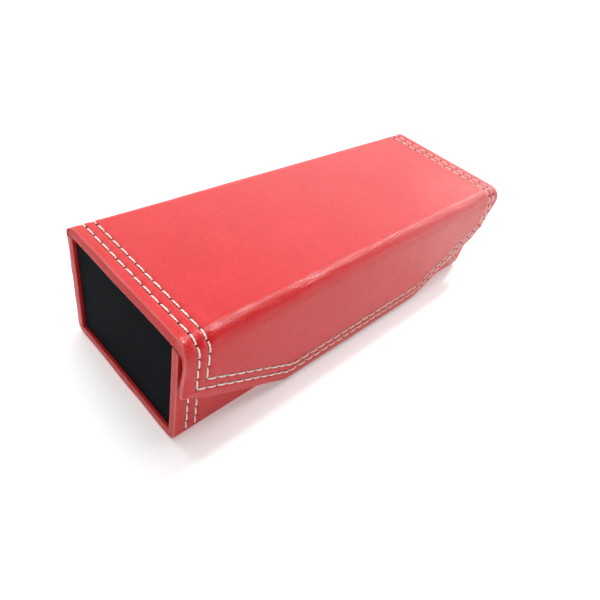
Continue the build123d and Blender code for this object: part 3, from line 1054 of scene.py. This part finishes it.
def panel_outline(half_y, half_z):
    """A rectangle with rounded corners, as points close enough to bend."""
    r = PANEL_CORNER_R
    y, z = half_y - r, half_z - r
    points = []
    for cy, cz, start in ((y, z, 0), (-y, z, 90), (-y, -z, 180), (y, -z, 270)):
        points += [on_arc((cy, cz), r, a) for a in np.radians(np.linspace(start, start + 90, 4))]
    dense = []
    for p, q in zip(points, points[1:] + points[:1]):
        count = max(1, round(math.dist(p, q) / PANEL_SPACING))
        dense += [(p[0] + (q[0] - p[0]) * i / count, p[1] + (q[1] - p[1]) * i / count) for i in range(count)]
    return np.array(dense)


def panel_rings(size):
    """Rings of points over a panel's rounded rim, from its right face to its left."""
    half = size[1:] / 2
    reference = panel_outline(*half)
    turn = np.linspace(0, UP, 5)
    r, face = PANEL_EDGE_R, size[0] / 2
    profile = [(r - r * math.sin(a), face - r + r * math.cos(a)) for a in turn]
    profile += [(inset, -x) for inset, x in reversed(profile)]
    return [np.column_stack([np.full(len(reference), x), reference * (half - inset) / half])
            for inset, x in profile]


def end_panel(end, side):
    """A board covered in black fabric: a slab with soft edges and a slightly full face."""
    low, high = (np.array(corner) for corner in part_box(f"{end}_end_cover"))
    rings = panel_rings(high - low)
    n = len(rings[0])
    faces = [face for j in range(len(rings) - 1) for face in band(j * n, (j + 1) * n, n)]
    verts = np.concatenate(rings)
    for place, outward in ((0, 1), (len(rings) - 1, -1)):
        before = place * n
        for share in (0.93, 0.8, 0.6, 0.4, 0.2):
            ring = rings[place].copy()
            ring[:, 1:] *= share
            bulge = PANEL_BULGE * (1 - share**2) if outward == side else 0.0
            rough = ripple(ring[:, 1], ring[:, 2], FABRIC_WAVER)
            ring[:, 0] += outward * (bulge + rough - PANEL_SINK)
            faces += band(before, len(verts), n)
            before = len(verts)
            verts = np.concatenate([verts, ring])
        faces.append(tuple(range(before, before + n)))
    piece = make_piece(f"{end}_end_fabric", verts + (low + high) / 2, faces, end_fabric)
    attach(piece, "tray", f"{end}_end_cover")


end_panel("left", -1)
end_panel("right", 1)


# Linings

SHEET_EDGE = 0.08 * MM
HINGE_LINING = 0.25 * MM


def tray_lining_section():
    """The tray's lining: a thin sheet down the back wall, over the floor and up the front wall."""
    s = Section(SHEET_EDGE)
    low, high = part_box("tray_lining")
    t = LINING
    y0, y1 = low.y, high.y
    z0 = low.z
    front_top = WALL_TOP - LINING_STEP
    inner = 1.2 * MM
    outer = 0.4 * MM
    soft = t / 2
    s.line((y0, front_top - soft), (y0, z0 + outer), WIDE)
    s.arc((y0 + outer, z0 + outer), outer, FORWARD, FORWARD + UP, 3)
    s.line((y0 + outer, z0), (y1 - outer, z0), WIDE)
    s.arc((y1 - outer, z0 + outer), outer, DOWN, 0, 3)
    s.line((y1, z0 + outer), (y1, high.z), WIDE)
    s.line((y1, high.z), (y1 - t, high.z), t)
    s.line((y1 - t, high.z), (y1 - t, z0 + t + inner), WIDE)
    s.arc((y1 - t - inner, z0 + t + inner), inner, 0, DOWN, 5)
    s.line((y1 - t - inner, z0 + t), (y0 + t + inner, z0 + t), WIDE)
    s.arc((y0 + t + inner, z0 + t + inner), inner, DOWN, -FORWARD, 5)
    s.line((y0 + t, z0 + t + inner), (y0 + t, front_top - soft), WIDE)
    s.arc((y0 + soft, front_top - soft), soft, 0, math.pi, 5)
    return s


def lid_lining_section():
    """The lid's lining, which stops at the fold and at the back crease."""
    s = Section(SHEET_EDGE)
    low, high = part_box("lid_lining")
    corners = [(low.y, high.z), (low.y, low.z), (high.y, low.z), (high.y, high.z)]
    s.polygon(corners, [LINING, WIDE, LINING, WIDE])
    return s


def fold_lining_section():
    """The lining round the inside of the front fold."""
    s = Section(SHEET_EDGE)
    outer, inner = TOP_R - WRAPPED, TOP_R - WRAPPED - LINING
    s.arc(FRONT_ARC, outer, UP, FORWARD, 12)
    s.line(on_arc(FRONT_ARC, outer, FORWARD), on_arc(FRONT_ARC, inner, FORWARD), LINING)
    s.arc(FRONT_ARC, inner, FORWARD, UP, 12)
    s.line(on_arc(FRONT_ARC, inner, UP), on_arc(FRONT_ARC, outer, UP), LINING)
    return s


def hinge_lining_section():
    """The lining folded into the back crease: over the wall's top and back under the lid."""
    s = Section(SHEET_EDGE)
    low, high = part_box("hinge_lining")
    t, step, short = HINGE_LINING, 0.4 * MM, 0.15 * MM
    inner_y, inner_low, inner_high = high.y - t, low.z + t, high.z - t
    corners = [(low.y, low.z), (high.y, low.z), (high.y, high.z), (low.y, high.z)]
    corners += [(low.y, inner_high), (inner_y, inner_high), (inner_y, inner_low), (low.y, inner_low)]
    s.polygon(corners, [step, short, step, t] * 2)
    return s


def flap_lining_mesh():
    """The flap's lining: its outline, a little inside the turned hem, as a thin soft sheet."""
    low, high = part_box("flap_lining")
    margin = HALF - high.x
    corners = flap_corners(margin)
    soft = 0.15 * MM
    rings = [(0.0, 0.0), (0.0, LINING - soft), (soft * 0.3, LINING - soft * 0.3), (soft, LINING)]
    straight = [max(2, round(math.dist(a, b) / (2.0 * MM))) for a, b in zip(corners, corners[1:])]
    counts = [straight[0], 5, straight[1], 5, straight[2], 5, straight[3], 5, straight[4]]
    bend = FLAP_BEND_R - margin
    verts = []
    for inset, rise in rings:
        line = rounded_path(flap_corners(margin + inset), [LEAST_R, bend, bend, LEAST_R], counts)
        verts.append(np.column_stack([line[:, 0], np.full(len(line), low.y + rise), line[:, 1]]))
    faces = tube(len(rings), len(verts[0]))
    return make_piece("flap_lining_sheet", np.concatenate(verts), faces, lining_fabric)


def swept_lining(owner, section, end, steps):
    return sweep(f"{owner}_lining_sheet", section, end, lining_fabric, rows=False, steps=steps)


tray_lining = swept_lining("tray", tray_lining_section(), END_IN, 1)
lid_lining = swept_lining("lid", lid_lining_section(), LINING_END, 3)
flap_lining = flap_lining_mesh()
fold_lining = swept_lining("fold", fold_lining_section(), LINING_END, 3)
hinge_lining = swept_lining("hinge", hinge_lining_section(), END_IN, 1)
attach(tray_lining, "tray", "tray_lining")
attach(lid_lining, "lid", "lid_lining")
attach(flap_lining, "flap", "flap_lining")
attach(fold_lining, "fold", "fold_lining")
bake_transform(hinge_lining)
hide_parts("hinge_lining")


def declare_linings():
    """Works out the area of the flap lining's outline, which nothing then uses."""
    corners = flap_corners(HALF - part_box("flap_lining")[1].x)
    edges = zip(corners, corners[1:] + corners[:1])
    area = abs(sum(a[0] * b[1] - b[0] * a[1] for a, b in edges)) / 2


declare_linings()


# CAD nodes that stay

for name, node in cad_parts.items():
    if name.endswith(("board", "magnets")):
        node.data.materials.clear()
        node.data.materials.append(greyboard if name.endswith("board") else nickel)


# Floor, light and camera

TABLE_HALF = 3.0
TABLE_LINES = 13
TABLE_GAP = 0.3 * MM

# Painted light: the table's glow, which lightens its shadows and its far part: how far from the middle in
# metres, and how strong there
NEAR_GLOW = (0.6, 0.29)
FAR_GLOW = (1.8, 0.85)
AIM = Vector((-0.02, -0.02, 0.02))

# The surroundings are pale at the horizon and dark above: two heights, and the brightness at each
SURROUNDINGS = (0.05, 0.40, 0.90, 0.06)

# Each softbox: the way to it, how far off it is, its two sides in metres and how bright its face is
SOFTBOXES = {
    "top_softbox": ((0, 0, 1), 1.3, (0.8, 0.8), 5.2),
    "back_softbox": ((0, 0.75, 0.65), 1.3, (0.8, 0.8), 3.9),
    "back_right_softbox": ((0.6, 0.6, 0.5), 1.3, (0.8, 0.8), 2.6),
    "right_softbox": ((0.95, 0.1, 0.3), 1.3, (0.8, 0.8), 3.0),
    "front_fill": ((0.8, -0.55, 0.25), 0.5, (0.3, 0.3), 1.1),
    "key": ((0.55, 0.12, 0.83), 1.3, (0.045, 0.25), 190.0),
}

def floor():
    """A plain white table top with a faint painted glow that rises towards its far part and lightens the
    shadows on it.
    """
    m = Nodes("pale_floor")
    place = m.place()
    tone = m.noise(place, 3.0, 2.0, 0.5)
    base = m.tint(tone, 0.3, 0.7, (0.82, 0.82, 0.82), (0.86, 0.86, 0.86))
    out = m.node("ShaderNodeVectorMath", {"operation": "LENGTH"})
    m.link(place, out.inputs[0])
    # Painted light: the table glows more the further out it lies.
    painted_glow = m.spread(out.outputs["Value"], NEAR_GLOW[0], FAR_GLOW[0], NEAR_GLOW[1], FAR_GLOW[1])
    m.shade(Base_Color=base, Roughness=0.9, Specular_IOR_Level=0.1, Emission_Color=(1, 1, 1),
            Emission_Strength=painted_glow)
    line = np.linspace(-TABLE_HALF, TABLE_HALF, TABLE_LINES)
    verts = [(x, y, -TABLE_GAP) for y in line for x in line]
    faces = [face for j in range(TABLE_LINES - 1)
             for face in band(j * TABLE_LINES, (j + 1) * TABLE_LINES, TABLE_LINES, closed=False)]
    make_piece("floor", np.array(verts), faces, m.material)


def softbox(name, way, far, size, brightness):
    """A rectangular light that faces the case."""
    light = bpy.data.lights.new(name, "AREA")
    light.shape = "RECTANGLE"
    light.size, light.size_y = size
    light.energy = brightness * math.pi * size[0] * size[1]
    obj = bpy.data.objects.new(name, light)
    way = Vector(way).normalized()
    obj.location = AIM + way * far
    obj.rotation_euler = (-way).to_track_quat("-Z", "Y").to_euler()
    obj.visible_camera = False
    scene.collection.objects.link(obj)


def studio():
    """Softboxes above, behind and to the right, weak fills elsewhere, and pale surroundings."""
    world = bpy.data.worlds.new("pale_studio")
    world.use_nodes = True
    nodes, links = world.node_tree.nodes, world.node_tree.links
    background = nodes["Background"]
    background.inputs["Color"].default_value = (1, 1, 1, 1)
    way = nodes.new("ShaderNodeTexCoord")
    height = nodes.new("ShaderNodeSeparateXYZ")
    fade = nodes.new("ShaderNodeMapRange")
    for key, value in zip(("From Min", "From Max", "To Min", "To Max"), SURROUNDINGS):
        fade.inputs[key].default_value = value
    links.new(way.outputs["Generated"], height.inputs["Vector"])
    links.new(height.outputs["Z"], fade.inputs["Value"])
    links.new(fade.outputs["Result"], background.inputs["Strength"])
    scene.world = world
    for name, (way, far, size, brightness) in SOFTBOXES.items():
        softbox(name, way, far, size, brightness)
    scene.view_settings.view_transform = "Standard"
    scene.view_settings.look = "None"


CAMERA_PLACE = Vector((-0.1281, -0.0904, 0.1330))
CAMERA_WAY = Vector((0.6123, 0.4359, -0.6596)).normalized()
CAMERA_ROLL = math.radians(15.1)
CAMERA_LENS = 30.07


def camera():
    """The photograph's viewpoint: close, front left and above, with the camera tipped over."""
    level = CAMERA_WAY.cross(Vector((0, 0, 1))).normalized()
    upright = level.cross(CAMERA_WAY)
    right = level * math.cos(CAMERA_ROLL) + upright * math.sin(CAMERA_ROLL)
    up = right.cross(CAMERA_WAY)
    data = bpy.data.cameras.new("camera")
    data.lens = CAMERA_LENS
    data.sensor_width = 36.0
    data.clip_start = 0.01
    obj = bpy.data.objects.new("camera", data)
    turn = Matrix((right, up, -CAMERA_WAY)).transposed().to_4x4()
    obj.matrix_world = Matrix.Translation(CAMERA_PLACE) @ turn
    scene.collection.objects.link(obj)
    bpy.context.scene.camera = obj


floor()
studio()
camera()
